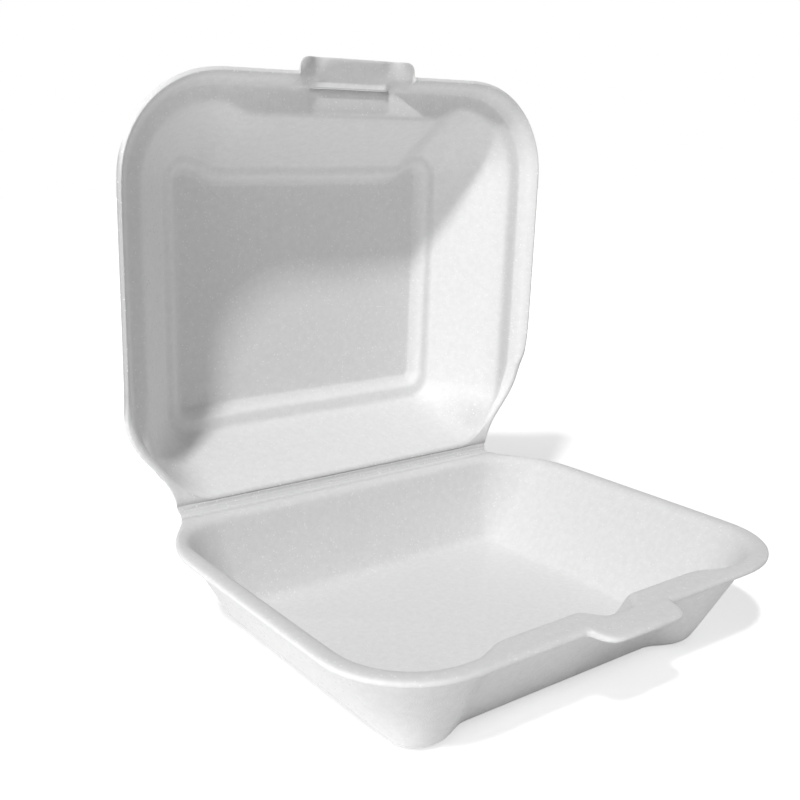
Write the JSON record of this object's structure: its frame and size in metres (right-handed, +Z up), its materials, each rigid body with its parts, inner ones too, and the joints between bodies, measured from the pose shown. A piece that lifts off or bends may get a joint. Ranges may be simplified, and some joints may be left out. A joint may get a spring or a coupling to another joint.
{
  "type": "hinged foam food box",
  "caption": "Hinged takeaway food box of white foam with a shallow tray, a deep stepped lid, a crushed fold hinge, a tab latch and a set-back front.",
  "frame": {"origin": "on the ground, under the middle of the tray's rim", "axes": "+Z up, +X along the hinge line, -Y towards the front with the latch tab; the box is a mirror image of itself about X = 0"},
  "size_m": [0.2084, 0.218, 0.2217],
  "materials": {
    "foam": "white expanded foam, matte with a faint bead sparkle"
  },
  "bodies": {
    "tray": {"tray": "foam"},
    "lid": {"lid": "foam"}
  },
  "joints": [
    {"name": "lid_fold", "type": "hinge", "parent": "tray", "child": "lid", "pos_m": [0, 0.0835, 0.0405], "axis": [-1, 0, 0], "range_deg": [-88, 87]}
  ]
}
